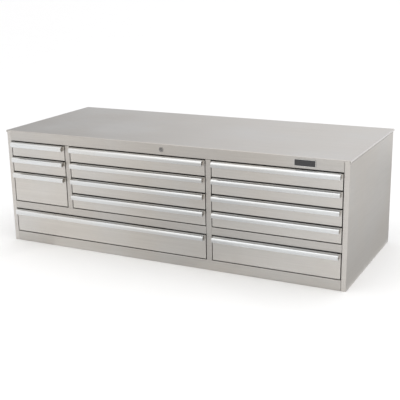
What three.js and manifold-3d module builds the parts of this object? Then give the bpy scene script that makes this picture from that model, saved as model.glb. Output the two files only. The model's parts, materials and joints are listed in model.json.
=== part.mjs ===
// A wide stainless steel tool chest with thirteen drawers on ball-bearing slides and one lock for them all.
// Millimetres, +Z up, the front faces -Y. The origin is on the floor, under the middle of the bounding box.
import * as THREE from "three";
import { mergeVertices } from "three/addons/utils/BufferGeometryUtils.js";
import Module from "manifold-3d";

const wasm = await Module();
wasm.setup();

// ---------------------------------------------------------------- driving dimensions

const WIDTH = 1829; // across the worktop
const DEPTH = 750; // from the front plane to the back of the worktop
const HEIGHT = 594;
const SHEET = 1.2; // cabinet sheet
const DRAWER_SHEET = 1;
const BEND = 1.5; // inside radius of a fold
const BEND_STEPS = 3; // flats round a visible fold, and a hidden one has a single flat
const FIT = 0.3; // gap between two parts that touch
const BEND_OUT = BEND + SHEET; // outside radius of a fold

const EDGE = 27; // from the worktop's edge to the first drawer opening
const POST = 28; // width of an upright between two openings
const LEFT_BAY = 333;
const CENTRE_BAY = 756;
const TOP_RAIL = 54;
const ROW = 81; // height of one shallow drawer's place
const ROWS = 4;
const MID_RAIL = 38;
const LOW_ROW = 128; // height of the bottom drawers' place
const BOTTOM_RAIL = HEIGHT - TOP_RAIL - ROWS * ROW - MID_RAIL - LOW_ROW;
const RETURN = 20; // how far a rail folds back
const POST_RETURN = 14;
const FLANGE = 15; // width of a short stiffening flange
const LIP = 12; // depth of the worktop's edge at the sides and the back
const HEM = 2 * SHEET; // its thickness, folded double

const SIDE_GAP = 3.2; // round a drawer front
const RAIL_GAP = 3.2; // over the highest drawer front of a column
const SILL_GAP = 5; // under the lowest one
const STACK_GAP = 4.4; // between two drawer fronts
const FRONT_DEEP = 18; // thickness of a hollow drawer front
const BOX_DEEP = 687; // length of a drawer box behind its front
const SLIDE_ROOM = 13.2; // each side of a drawer box
const SLIDE_LENGTH = 650;
const SLIDE_HEIGHT = 45;
const SLIDE_RISE = 28.5; // slide's middle above the drawer's floor
const SLIDE_SHEET = 1.5;
const RACK_UPRIGHTS = [30, 620]; // behind the front plane
const RACK_WIDTH = 30;

const PULL_REACH = 25; // how far a pull stands out of the front plane
const PULL_DROP = 27;
const PULL_LIP = 13; // flat part of the drop, under the nose
const PULL_LEAN = 4; // how far the lip leans in towards the front
const PULL_STEPS = 6;
const PULL_WALL = 2;
const PULL_INSET = 6; // from the drawer front's ends
const PULL_SEAT = 13; // how far its flange reaches over the drawer front

const LOCK_DOWN = 27.5; // lock's middle below the worktop
const LOCK_TRAVEL = 10; // rise of the locking frame
const LOCK_HOLE = 9.8; // radius
const LOCK_SPACE = 16; // from a drawer's back to the locking bars
const LOCK_PLATE = 3; // thickness of the locking bars
const LOCK_BAR_HALF = 10;
const TIE_BAR_HALF = 12;
const CRANK_PIN = 3; // radius
const CATCH_RISE = 40; // catch arm above a drawer's floor
const CATCH_LIP = 10;
const CATCH_CLEAR = 2; // between a locking bar and a catch's side
const CATCH_WIDTH = 12;
const BASE_CHANNEL = 120; // width of a caster channel

// ---------------------------------------------------------------- derived places

const FRONT = PULL_REACH / 2 - DEPTH / 2;
const BACK = FRONT + DEPTH;
const OVERLAP = HEM + FIT; // the worktop's lips lie outside the side panels
const SIDE = WIDTH / 2 - OVERLAP;
const EDGE_X = WIDTH / 2 - EDGE;
const UNDER_TOP = HEIGHT - BEND_OUT;
const BACK_PANEL = [BACK - OVERLAP - SHEET, BACK - OVERLAP];
const WALL_END = BACK_PANEL[0] - FIT;
const OPENING_TOP = HEIGHT - TOP_RAIL;
const OPENING_LOW = OPENING_TOP - ROWS * ROW;
const FLOOR_LEVEL = BOTTOM_RAIL - SHEET - FIT;
const BOX_BACK = FRONT + FRONT_DEEP + BOX_DEEP;
const SLIDE_SPAN = [FRONT + RETURN, FRONT + RETURN + SLIDE_LENGTH];
const LOCK_Z = HEIGHT - LOCK_DOWN;

const LEFT_POST = [-EDGE_X + LEFT_BAY, -EDGE_X + LEFT_BAY + POST];
const CENTRE_POST = [LEFT_POST[1] + CENTRE_BAY, LEFT_POST[1] + CENTRE_BAY + POST];
const BAYS = {
  left: [-EDGE_X, LEFT_POST[0]],
  centre: [LEFT_POST[1], CENTRE_POST[0]],
  right: [CENTRE_POST[1], EDGE_X],
  wide: [-EDGE_X, CENTRE_POST[0]],
};
const middle = ([low, high]) => (low + high) / 2;
const inset = ([low, high], by) => [low + by, high - by];

// Locking parts, from the drawer backs towards the back panel.
const LOCK_BAR_Y = [BOX_BACK + LOCK_SPACE, BOX_BACK + LOCK_SPACE + LOCK_PLATE];
const TIE_BAR_Y = [LOCK_BAR_Y[1] + FIT, LOCK_BAR_Y[1] + FIT + LOCK_PLATE];
const CATCH_END = LOCK_BAR_Y[1] + 6;
const LOCK_BARS = {
  left: middle(BAYS.left),
  centre: middle(BAYS.centre),
  right: middle(BAYS.right),
};

// ---------------------------------------------------------------- materials

const steel = (color, roughness) => new THREE.MeshStandardMaterial({ color, metalness: 1, roughness });
const materials = {
  cabinet: steel(0xbdb9b3, 0.38),
  drawer: steel(0xc0bcb6, 0.36),
  pull: steel(0xdfe1e2, 0.3),
  zinc: steel(0xb4b7ba, 0.45),
  chrome: steel(0xd0d0d2, 0.15),
  plate: new THREE.MeshStandardMaterial({ color: 0x111214, metalness: 0, roughness: 0.35 }),
};

// ---------------------------------------------------------------- solids

// A closed three.js geometry as a solid.
function solidOf(geometry) {
  const plain = geometry.clone();
  plain.deleteAttribute("normal");
  plain.deleteAttribute("uv");
  const merged = mergeVertices(plain, 1e-4);
  const mesh = new wasm.Mesh({
    numProp: 3,
    vertProperties: merged.attributes.position.array,
    triVerts: new Uint32Array(merged.index.array),
  });
  return new wasm.Manifold(mesh);
}

function block([x0, x1], [y0, y1], [z0, z1]) {
  const box = new THREE.BoxGeometry(x1 - x0, y1 - y0, z1 - z0);
  return solidOf(box.translate((x0 + x1) / 2, (y0 + y1) / 2, (z0 + z1) / 2));
}

const joined = (...solids) => solids.flat().reduce((all, next) => all.add(next));

// The outline of a folded sheet. The path is the sheet's outer face, and its thickness lies to the left.
function foldedSheet(path, thickness = SHEET, bend = BEND, steps = BEND_STEPS) {
  const corners = path.map(([u, v]) => new THREE.Vector2(u, v));
  const heading = (i) => corners[i + 1].clone().sub(corners[i]).normalize();
  const leftOf = (d) => new THREE.Vector2(-d.y, d.x);
  const near = [corners[0].clone()];
  const far = [corners[0].clone().addScaledVector(leftOf(heading(0)), thickness)];
  for (let i = 1; i < corners.length - 1; i++) {
    const into = heading(i - 1);
    const angle = Math.atan2(into.cross(heading(i)), into.dot(heading(i)));
    const turn = Math.sign(angle);
    const radius = turn > 0 ? bend + thickness : bend;
    const centre = corners[i].clone();
    centre.addScaledVector(into, -radius * Math.tan(Math.abs(angle) / 2));
    centre.addScaledVector(leftOf(into), turn * radius);
    for (let k = 0; k <= steps; k++) {
      const spoke = leftOf(into).multiplyScalar(-turn);
      spoke.rotateAround(new THREE.Vector2(), (k / steps) * angle);
      near.push(centre.clone().addScaledVector(spoke, radius));
      far.push(centre.clone().addScaledVector(spoke, radius - turn * thickness));
    }
  }
  const last = corners.length - 1;
  near.push(corners[last].clone());
  far.push(corners[last].clone().addScaledVector(leftOf(heading(last - 1)), thickness));
  return [...near, ...far.reverse()];
}

function prism(outline, length, basis) {
  const shape = new THREE.Shape(outline);
  const made = new THREE.ExtrudeGeometry(shape, { depth: length, bevelEnabled: false, curveSegments: 12 });
  return solidOf(made.applyMatrix4(basis));
}

// An outline drawn in (y, z), carried from x0 to x1.
function alongX(outline, [x0, x1]) {
  const axes = [new THREE.Vector3(0, 1, 0), new THREE.Vector3(0, 0, 1), new THREE.Vector3(1, 0, 0)];
  return prism(outline, x1 - x0, new THREE.Matrix4().makeBasis(...axes).setPosition(x0, 0, 0));
}

// An outline drawn in (x, z), carried from y0 to y1.
function alongY(outline, [y0, y1]) {
  const axes = [new THREE.Vector3(1, 0, 0), new THREE.Vector3(0, 0, 1), new THREE.Vector3(0, -1, 0)];
  return prism(outline, y1 - y0, new THREE.Matrix4().makeBasis(...axes).setPosition(0, y1, 0));
}

// An outline drawn in (x, y), carried from z0 to z1.
function alongZ(outline, [z0, z1]) {
  return prism(outline, z1 - z0, new THREE.Matrix4().setPosition(0, 0, z0));
}

// A turned piece about the Y axis through (x, z). The profile's corners are [radius, y], in a closed loop.
function turned(profile, x, z, sides = 24) {
  const points = [...profile, profile[0]].map(([radius, y]) => new THREE.Vector2(radius, y));
  if (THREE.ShapeUtils.area(points) < 0) points.reverse();
  return solidOf(new THREE.LatheGeometry(points, sides).translate(x, 0, z));
}

const rod = (radius, [y0, y1], x, z, sides) =>
  turned([[0, y0], [radius, y0], [radius, y1], [0, y1]], x, z, sides);

const mirrored = (outline) => outline.map((p) => new THREE.Vector2(-p.x, p.y));

const chest = new THREE.Group();

function add(name, solid, material) {
  const { vertProperties, triVerts } = solid.getMesh();
  const indexed = new THREE.BufferGeometry();
  indexed.setAttribute("position", new THREE.BufferAttribute(new Float32Array(vertProperties), 3));
  indexed.setIndex(new THREE.BufferAttribute(new Uint32Array(triVerts), 1));
  const geometry = indexed.toNonIndexed();
  geometry.computeVertexNormals();
  const mesh = new THREE.Mesh(geometry, material);
  mesh.name = name;
  chest.add(mesh);
}

// ---------------------------------------------------------------- drawers' places

// Each bay's drawers from the top down, each as many rows high as its number says.
const STACKS = { left: [1, 1, 2], centre: [1, 1, 1, 1], right: [1, 1, 1, 1] };

function placeOf(name, bay, low, high, isFirst, isLast) {
  const [x0, x1] = BAYS[bay];
  const face = [low + (isLast ? SILL_GAP : STACK_GAP / 2), high - (isFirst ? RAIL_GAP : STACK_GAP / 2)];
  const box = [face[0] + 4, face[1] - 12];
  return {
    name,
    bay,
    face,
    box,
    faceX: [x0 + SIDE_GAP, x1 - SIDE_GAP],
    boxX: [x0 + SLIDE_ROOM, x1 - SLIDE_ROOM],
    slideZ: box[0] + SLIDE_RISE,
    lockBar: LOCK_BARS[bay === "wide" ? "centre" : bay],
  };
}

const drawers = [];
for (const [bay, heights] of Object.entries(STACKS)) {
  let high = OPENING_TOP;
  heights.forEach((rows, i) => {
    const low = high - rows * ROW;
    drawers.push(placeOf(`${bay}_drawer_${i + 1}`, bay, low, high, i === 0, i === heights.length - 1));
    high = low;
  });
}
for (const [name, bay] of [["wide_drawer", "wide"], ["right_drawer_5", "right"]]) {
  drawers.push(placeOf(name, bay, BOTTOM_RAIL, BOTTOM_RAIL + LOW_ROW, true, true));
}
const inBays = (...bays) => drawers.filter((d) => bays.includes(d.bay));

// ---------------------------------------------------------------- cabinet shell

// Side panel with a front flange that folds back at the opening, and a back flange.
function sidePanels() {
  const wall = foldedSheet([
    [EDGE_X, FRONT + FLANGE],
    [EDGE_X, FRONT],
    [SIDE, FRONT],
    [SIDE, WALL_END],
    [SIDE - RETURN, WALL_END],
  ]);
  const inside = SIDE - SHEET / 2;
  const lowFlange = [EDGE_X + SHEET + FIT, inside];
  const deep = inset([FRONT, WALL_END], 3);
  const build = (sign) => {
    const across = ([a, b]) => (sign > 0 ? [a, b] : [-b, -a]);
    return joined(
      alongZ(sign > 0 ? wall : mirrored(wall), [0, UNDER_TOP]),
      block(across(lowFlange), deep, [0, SHEET]),
      block(across([inside - FLANGE, inside]), deep, [UNDER_TOP - SHEET, UNDER_TOP]),
    );
  };
  add("left_side_panel", build(-1), materials.cabinet);
  add("right_side_panel", build(1), materials.cabinet);
}

// A bar-shaped outline whose two upper corners are round.
function domed([u0, u1], [v0, v1], radius) {
  const outline = new THREE.Shape();
  outline.moveTo(u0, v0);
  outline.lineTo(u1, v0);
  outline.absarc(u1 - radius, v1 - radius, radius, 0, Math.PI / 2);
  outline.absarc(u0 + radius, v1 - radius, radius, Math.PI / 2, Math.PI);
  return outline.getPoints(BEND_STEPS);
}

// The worktop: a shallow pan with a hemmed edge, and its front folded down and back as the top rail.
function worktop() {
  const across = [-WIDTH / 2, WIDTH / 2];
  const deep = [FRONT, BACK];
  const low = HEIGHT - LIP;
  const outer = alongY(domed(across, [low, HEIGHT], BEND_OUT), deep).intersect(
    alongX(domed(deep, [low, HEIGHT], BEND_OUT), across),
  );
  const room = [low - 1, HEIGHT - SHEET];
  const inner = alongY(domed(inset(across, HEM), room, BEND), deep).intersect(
    alongX(domed(inset(deep, HEM), room, BEND), across),
  );
  const rail = foldedSheet([
    [FRONT + RETURN, HEIGHT],
    [FRONT, HEIGHT],
    [FRONT, OPENING_TOP],
    [FRONT + RETURN, OPENING_TOP],
  ]);
  const notch = ([x0, x1]) => block([x0, x1], [FRONT - 1, FRONT + OVERLAP], [low - 1, UNDER_TOP + FIT]);
  const pan = outer
    .subtract(inner)
    .subtract(notch([-WIDTH / 2 - 1, -EDGE_X]))
    .subtract(notch([EDGE_X, WIDTH / 2 + 1]));
  const lockHole = rod(LOCK_HOLE, [FRONT - 5, FRONT + 5], 0, LOCK_Z);
  const apron = alongX(rail, [-EDGE_X + FIT, EDGE_X - FIT]);
  add("top_panel", joined(pan, apron).subtract(lockHole), materials.cabinet);
}

function backAndFloor() {
  const across = [-SIDE + BEND_OUT, SIDE - BEND_OUT];
  const deep = [FRONT + FLANGE + FIT, WALL_END - BEND_OUT];
  add("back_panel", block([-SIDE, SIDE], BACK_PANEL, [0, UNDER_TOP]), materials.cabinet);
  add("bottom_panel", block(across, deep, [FLOOR_LEVEL - SHEET, FLOOR_LEVEL]), materials.cabinet);
}

// A rail's section: a face in the front plane with a return at its top and bottom.
function railSection(low, high, lowReturn = RETURN) {
  return foldedSheet([
    [FRONT + RETURN, high],
    [FRONT, high],
    [FRONT, low],
    [FRONT + lowReturn, low],
  ]);
}

function rails() {
  const full = [-EDGE_X + FIT, EDGE_X - FIT];
  add("bottom_rail", alongX(railSection(0, BOTTOM_RAIL, 25), full), materials.cabinet);
  const section = railSection(OPENING_LOW - MID_RAIL, OPENING_LOW);
  add("mid_rail_left", alongX(section, [full[0], CENTRE_POST[0] - FIT]), materials.cabinet);
  add("mid_rail_right", alongX(section, [CENTRE_POST[1] + FIT, full[1]]), materials.cabinet);
}

// An upright between two bays: a channel in the front plane and a single-sheet wall behind it.
function upright(name, [x0, x1], low) {
  const channel = foldedSheet([
    [x0, FRONT + POST_RETURN],
    [x0, FRONT],
    [x1, FRONT],
    [x1, FRONT + POST_RETURN],
  ]);
  add(`${name}_post`, alongZ(channel, [low + FIT, OPENING_TOP - FIT]), materials.cabinet);

  const x = middle([x0, x1]);
  const wall = foldedSheet([
    [x + SHEET / 2, FRONT + SHEET + FIT],
    [x + SHEET / 2, WALL_END],
    [x - FLANGE, WALL_END],
  ]);
  const reach = [x - FLANGE - 1, x + FLANGE + 1];
  const forRail = block(reach, [FRONT, FRONT + RETURN + FIT], [OPENING_TOP - FIT, HEIGHT]);
  const forTieBar = block(reach, [LOCK_BAR_Y[0] - 6, BACK], [LOCK_Z - 2 * TIE_BAR_HALF, HEIGHT]);
  const panel = alongZ(wall, [low + FIT, UNDER_TOP - FIT]).subtract(forRail).subtract(forTieBar);
  const flangeDeep = [FRONT + RETURN + 2, LOCK_BAR_Y[0] - 8];
  const topFlange = block([x - FLANGE, x], flangeDeep, [UNDER_TOP - FIT - SHEET, UNDER_TOP - FIT]);
  add(`${name}_divider`, joined(panel, topFlange), materials.cabinet);
}

// Channels across the underside, with four holes at each end for a caster's plate.
function baseChannels() {
  const wall = 1.5;
  const high = FLOOR_LEVEL - SHEET - FIT - wall;
  const holes = { x: 37, y: 30, radius: 5.5, fromEnd: 75 };
  const span = [FRONT + 27, WALL_END - 4];
  const places = { left: -SIDE + 133, centre: 0, right: SIDE - 133 };
  for (const [name, x] of Object.entries(places)) {
    const half = BASE_CHANNEL / 2;
    const section = foldedSheet(
      [
        [x - half - FLANGE, high],
        [x - half, high],
        [x - half, 0],
        [x + half, 0],
        [x + half, high],
        [x + half + FLANGE, high],
      ],
      wall,
      BEND,
      1,
    );
    let channel = alongY(section, span);
    for (const y of [span[0] + holes.fromEnd, span[1] - holes.fromEnd]) {
      for (const dx of [-holes.x, holes.x]) {
        for (const dy of [-holes.y, holes.y]) {
          const drill = new THREE.CylinderGeometry(holes.radius, holes.radius, 10, 10);
          drill.rotateX(Math.PI / 2).translate(x + dx, y + dy, 0);
          channel = channel.subtract(solidOf(drill));
        }
      }
    }
    add(`base_channel_${name}`, channel, materials.cabinet);
  }
}

// ---------------------------------------------------------------- slides

// The cabinet's half of the slides on one wall: two uprights that carry one fixed member for each drawer.
// wallX is the wall's surface, edgeX the drawer opening's edge, and inward points into the bay.
function slideRack(name, wallX, edgeX, inward, served, [low, high]) {
  const sink = 0.2; // a member sinks this far into the uprights
  const face = edgeX + inward * sink;
  const outlineOf = (path) => {
    const outline = foldedSheet(path.map(([u, v]) => [inward * u, v]), SLIDE_SHEET, 1, 1);
    return inward > 0 ? outline : mirrored(outline);
  };
  const foot = wallX + inward * FIT;
  const solids = RACK_UPRIGHTS.map((behind) => {
    const [y0, y1] = [FRONT + behind, FRONT + behind + RACK_WIDTH];
    return alongZ(outlineOf([[foot, y1], [face, y1], [face, y0], [foot, y0]]), [low, high]);
  });
  const half = SLIDE_HEIGHT / 2;
  const root = face - inward * sink;
  const tip = face + inward * 9.5;
  for (const { slideZ: z } of served) {
    const member = outlineOf([[tip, z + half], [root, z + half], [root, z - half], [tip, z - half]]);
    solids.push(alongY(member, SLIDE_SPAN));
  }
  add(name, joined(solids), materials.zinc);
}

function slideRacks() {
  const full = [FLOOR_LEVEL + 4, OPENING_TOP - 4];
  const upper = [OPENING_LOW + 4, OPENING_TOP - 4];
  const sideX = SIDE - SHEET;
  const leftWall = middle(LEFT_POST);
  const centreWall = middle(CENTRE_POST);
  const half = SHEET / 2;
  slideRack("rack_left_side", -sideX, -EDGE_X, 1, inBays("left", "wide"), full);
  slideRack("rack_left_divider_a", leftWall - half, LEFT_POST[0], -1, inBays("left"), upper);
  slideRack("rack_left_divider_b", leftWall + half, LEFT_POST[1], 1, inBays("centre"), upper);
  slideRack("rack_centre_divider_a", centreWall - half, CENTRE_POST[0], -1, inBays("centre", "wide"), full);
  slideRack("rack_centre_divider_b", centreWall + half, CENTRE_POST[1], 1, inBays("right"), full);
  slideRack("rack_right_side", sideX, EDGE_X, -1, inBays("right"), full);
}

// ---------------------------------------------------------------- drawers

// The drawer's half of a slide, on the outside of the box. outward points away from the box.
function drawerMember(wallX, outward, z) {
  const half = 15;
  const sink = 0.4; // into the box's wall
  const tip = wallX + outward * 8.5;
  const root = wallX - outward * sink;
  const path = [[tip, z + half], [root, z + half], [root, z - half], [tip, z - half]];
  const outline = foldedSheet(outward > 0 ? path : path.reverse(), 1.4, 1, 1);
  return alongY(outline, [FRONT + FRONT_DEEP, FRONT + FRONT_DEEP + SLIDE_LENGTH]);
}

// A hollow front: a face with returns all round. The lower return stops short of the box and leaves a slot.
function drawerFront({ faceX: [x0, x1], face: [low, high] }) {
  const t = DRAWER_SHEET;
  const inner = FRONT + FRONT_DEEP;
  const slot = 9;
  const shoulder = high - PULL_WALL - FIT;
  const pan = foldedSheet([[x0, inner], [x0, FRONT], [x1, FRONT], [x1, inner]], t, BEND, 2);
  return joined(
    alongZ(pan, [low, shoulder]),
    block([x0 + t / 2, x1 - t / 2], [FRONT + t / 2, inner], [shoulder - t, shoulder]),
    block([x0 + t / 2, x1 - t / 2], [FRONT + t / 2, inner - slot], [low, low + t]),
  );
}

function drawerBox(drawer) {
  const { boxX: [x0, x1], box: [low, high], face, faceX, slideZ, lockBar } = drawer;
  const t = DRAWER_SHEET;
  const inner = FRONT + FRONT_DEEP;
  const tray = foldedSheet([[x0, high], [x0, low], [x1, low], [x1, high]], t, BEND, 1);
  const innerWall = block([faceX[0], faceX[1]], [inner - t, inner], [face[0] + 1, face[1] - PULL_WALL - FIT]);
  const backWall = block([x0 + t / 2, x1 - t / 2], [BOX_BACK - t, BOX_BACK], [low + t / 2, high]);
  const catchStart = lockBar + LOCK_BAR_HALF + CATCH_CLEAR;
  const catchX = [catchStart, catchStart + CATCH_WIDTH];
  const arm = low + CATCH_RISE;
  const catchPath = [[CATCH_END, arm - CATCH_LIP], [CATCH_END, arm + 2], [BOX_BACK - t / 2, arm + 2]];
  const catchHook = alongX(foldedSheet(catchPath, 2, 0.5, 1), catchX);
  return joined(
    alongY(tray, [inner - t / 2, BOX_BACK]),
    innerWall,
    backWall,
    drawerFront(drawer),
    drawerMember(x0, -1, slideZ),
    drawerMember(x1, 1, slideZ),
    catchHook,
  );
}

// A full-width pull: a flange over the front's top edge, a quarter-round nose and a lip to grip.
function pull({ faceX: [x0, x1], face: [, high] }) {
  const back = FRONT + PULL_SEAT;
  const nose = FRONT - PULL_WALL;
  const low = high - PULL_DROP;
  const drop = PULL_DROP - PULL_LIP;
  const reach = PULL_REACH - PULL_WALL;
  const lipEnd = FRONT - PULL_REACH + PULL_LEAN;
  const round = (inset) => {
    const [wide, tall] = [reach - inset, drop - inset];
    return new THREE.EllipseCurve(nose, high - drop, wide, tall, Math.PI / 2, Math.PI).getPoints(PULL_STEPS);
  };
  const section = [
    new THREE.Vector2(back, high),
    ...round(0),
    new THREE.Vector2(lipEnd, low),
    new THREE.Vector2(lipEnd + PULL_WALL, low),
    ...round(PULL_WALL).reverse(),
    new THREE.Vector2(back, high - PULL_WALL),
  ];
  return alongX(section, [x0 + PULL_INSET, x1 - PULL_INSET]);
}

// ---------------------------------------------------------------- lock

// Barrel lock in the top rail. Its shaft runs back over the drawers and its crank lifts the locking frame.
function lock() {
  const plugRadius = 6;
  const bore = plugRadius + FIT;
  const barrel = LOCK_HOLE - FIT;
  const rim = 12;
  const tail = FRONT + 24;
  const housing = [
    [bore, FRONT - 2],
    [rim, FRONT - 2],
    [rim, FRONT - FIT],
    [barrel, FRONT - FIT],
    [barrel, tail],
    [bore, tail],
  ];
  add("lock_housing", turned(housing, 0, LOCK_Z), materials.chrome);

  const nutDepth = 4;
  const nutFace = FRONT + SHEET + FIT;
  const nut = new THREE.CylinderGeometry(13, 13, nutDepth, 6).translate(0, nutFace + nutDepth / 2, LOCK_Z);
  const nutHole = rod(LOCK_HOLE, [FRONT, tail], 0, LOCK_Z);
  add("lock_nut", solidOf(nut).subtract(nutHole), materials.zinc);

  const plugEnd = tail + 6;
  const keyway = block([-1.1, 1.1], [FRONT - 5, FRONT + 8], [LOCK_Z - 4, LOCK_Z + 4]);
  add("lock_plug", rod(plugRadius, [FRONT - 1, plugEnd], 0, LOCK_Z).subtract(keyway), materials.chrome);

  const crankFront = LOCK_BAR_Y[0] - 5;
  add("lock_shaft", rod(4, [plugEnd + FIT, crankFront - FIT], 0, LOCK_Z, 16), materials.zinc);

  const arm = new THREE.Shape();
  arm.absarc(0, LOCK_Z, 7, Math.PI / 2, (3 * Math.PI) / 2);
  arm.absarc(LOCK_TRAVEL, LOCK_Z, 5, -Math.PI / 2, Math.PI / 2);
  const plate = alongY(arm.getPoints(8), [crankFront, crankFront + LOCK_PLATE]);
  const pin = rod(CRANK_PIN, [crankFront + 1, TIE_BAR_Y[1] + 3], LOCK_TRAVEL, LOCK_Z, 16);
  add("lock_crank", joined(plate, pin), materials.zinc);
}

// The locking frame: a tie bar with a slot for the crank's pin, and one upright bar with lugs for each bay.
function lockingFrame() {
  const ends = [LOCK_BARS.left - LOCK_BAR_HALF, LOCK_BARS.right + LOCK_BAR_HALF];
  const bar = block(ends, TIE_BAR_Y, [LOCK_Z - TIE_BAR_HALF, LOCK_Z + TIE_BAR_HALF]);
  const slotHalf = CRANK_PIN + 2.6;
  const slot = block([-5, LOCK_TRAVEL + 5], inset(TIE_BAR_Y, -2), [LOCK_Z - slotHalf, LOCK_Z + slotHalf]);
  add("lock_tie_bar", bar.subtract(slot), materials.zinc);

  const served = { left: inBays("left"), centre: inBays("centre", "wide"), right: inBays("right") };
  for (const [bay, x] of Object.entries(LOCK_BARS)) {
    const lugs = served[bay].map(({ box: [low] }) => {
      const top = low + CATCH_RISE - CATCH_LIP - 2;
      return block([x + LOCK_BAR_HALF - 1, x + LOCK_BAR_HALF + 16], LOCK_BAR_Y, [top - 14, top]);
    });
    const lowest = Math.min(...served[bay].map(({ box: [low] }) => low));
    const across = [x - LOCK_BAR_HALF, x + LOCK_BAR_HALF];
    const stem = block(across, LOCK_BAR_Y, [lowest + 4, LOCK_Z + TIE_BAR_HALF]);
    add(`lock_bar_${bay}`, joined(stem, lugs), materials.zinc);
  }
}

// Loops on the back panel that the tie bar rises and falls in.
function tieBarGuides() {
  const wall = 1.6;
  const loop = inset(TIE_BAR_Y, -2);
  const height = inset([LOCK_Z - TIE_BAR_HALF, LOCK_Z + TIE_BAR_HALF + LOCK_TRAVEL], -2);
  const places = { left: -430, right: 420 };
  for (const [name, x] of Object.entries(places)) {
    const across = [x - 10, x + 10];
    const window = block(inset(across, -1), inset(loop, wall), inset(height, wall));
    const ring = block(across, loop, height).subtract(window);
    const foot = block(across, [loop[1] - 0.5, WALL_END], [LOCK_Z - 1, LOCK_Z + 1]);
    const pad = block(across, [WALL_END - 2, WALL_END], height);
    add(`tie_bar_guide_${name}`, joined(ring, foot, pad), materials.zinc);
  }
}

// A plain badge on the top rail.
function nameplate() {
  const half = { x: 50, z: 16 };
  const corner = 5;
  const x = 712;
  const outline = new THREE.Shape();
  outline.absarc(x + half.x - corner, LOCK_Z + half.z - corner, corner, 0, Math.PI / 2);
  outline.absarc(x - half.x + corner, LOCK_Z + half.z - corner, corner, Math.PI / 2, Math.PI);
  outline.absarc(x - half.x + corner, LOCK_Z - half.z + corner, corner, Math.PI, 1.5 * Math.PI);
  outline.absarc(x + half.x - corner, LOCK_Z - half.z + corner, corner, 1.5 * Math.PI, 2 * Math.PI);
  add("nameplate", alongY(outline.getPoints(4), [FRONT - 2.3, FRONT - FIT]), materials.plate);
}

// ---------------------------------------------------------------- assembly

sidePanels();
worktop();
backAndFloor();
rails();
upright("left", LEFT_POST, OPENING_LOW);
upright("centre", CENTRE_POST, BOTTOM_RAIL);
baseChannels();
slideRacks();
lock();
lockingFrame();
tieBarGuides();
nameplate();
for (const drawer of drawers) {
  add(`${drawer.name}_box`, drawerBox(drawer), materials.drawer);
  add(`${drawer.name}_pull`, pull(drawer), materials.pull);
}

export default chest;
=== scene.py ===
"""Looks of a wide stainless steel tool chest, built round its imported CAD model.

Metres, +Z up, the front faces -Y. Places and sizes come from the frame. A drawer is always spoken of by the
name of its body, such as "left_drawer_1".
"""
import json
import math

import bmesh
import bpy
from mathutils import Matrix, Vector

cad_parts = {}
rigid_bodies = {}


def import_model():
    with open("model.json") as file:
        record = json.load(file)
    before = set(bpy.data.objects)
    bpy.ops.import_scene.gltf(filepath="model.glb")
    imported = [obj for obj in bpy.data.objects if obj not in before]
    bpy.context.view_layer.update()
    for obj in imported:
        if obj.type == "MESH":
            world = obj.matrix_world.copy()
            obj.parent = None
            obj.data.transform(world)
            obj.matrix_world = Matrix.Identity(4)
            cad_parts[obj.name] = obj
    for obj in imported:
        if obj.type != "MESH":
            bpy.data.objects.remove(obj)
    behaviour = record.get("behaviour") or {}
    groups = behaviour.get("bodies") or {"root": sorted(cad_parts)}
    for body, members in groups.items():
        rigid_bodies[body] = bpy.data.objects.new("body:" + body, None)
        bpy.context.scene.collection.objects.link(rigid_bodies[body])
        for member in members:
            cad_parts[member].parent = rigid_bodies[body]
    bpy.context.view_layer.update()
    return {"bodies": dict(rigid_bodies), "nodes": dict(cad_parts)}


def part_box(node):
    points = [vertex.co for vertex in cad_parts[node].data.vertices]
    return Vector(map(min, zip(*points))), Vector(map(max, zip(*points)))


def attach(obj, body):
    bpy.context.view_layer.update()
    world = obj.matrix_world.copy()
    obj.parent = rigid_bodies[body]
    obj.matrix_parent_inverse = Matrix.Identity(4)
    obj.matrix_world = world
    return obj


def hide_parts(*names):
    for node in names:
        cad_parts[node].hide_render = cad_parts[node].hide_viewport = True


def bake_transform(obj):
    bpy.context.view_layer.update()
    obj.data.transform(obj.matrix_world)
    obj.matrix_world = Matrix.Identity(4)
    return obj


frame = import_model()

MM = 0.001
NODES = frame["nodes"]
BODIES = frame["bodies"]
DRAWERS = sorted(name for name in BODIES if "_drawer" in name)
CABINET = "cabinet"

# ------------------------------------------------------------ shader graphs


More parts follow.
